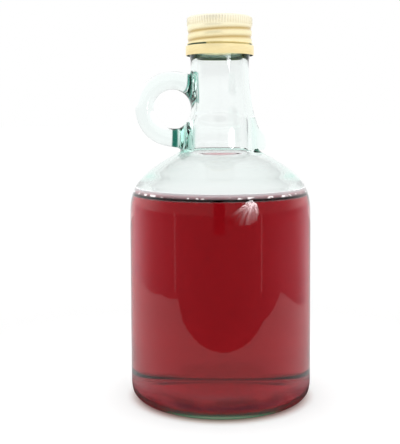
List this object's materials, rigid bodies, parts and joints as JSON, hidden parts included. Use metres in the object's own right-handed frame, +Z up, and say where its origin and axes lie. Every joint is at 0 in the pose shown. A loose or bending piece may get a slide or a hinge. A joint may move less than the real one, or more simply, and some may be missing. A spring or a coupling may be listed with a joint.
{
  "type": "glass jug bottle of red drink with screw cap",
  "caption": "Small round-bodied clear glass jug bottle with a ring handle on its neck, filled with red drink up to the shoulder and closed by a gold-coloured roll-on screw cap.",
  "frame": {"origin": "on the table under the middle of the base", "axes": "+Z up along the bottle's axis, the ring handle towards -X"},
  "size_m": [0.086, 0.086, 0.181],
  "materials": {
    "glass": "clear soda-lime glass with a faint green tint, fire-polished",
    "drink": "clear dark red liquid",
    "cap_metal": "pale gold lacquered thin aluminium, knurled crown, rolled thread"
  },
  "bodies": {
    "root": {"bottle": "glass", "drink": "drink", "cap": "cap_metal"}
  },
  "joints": []
}
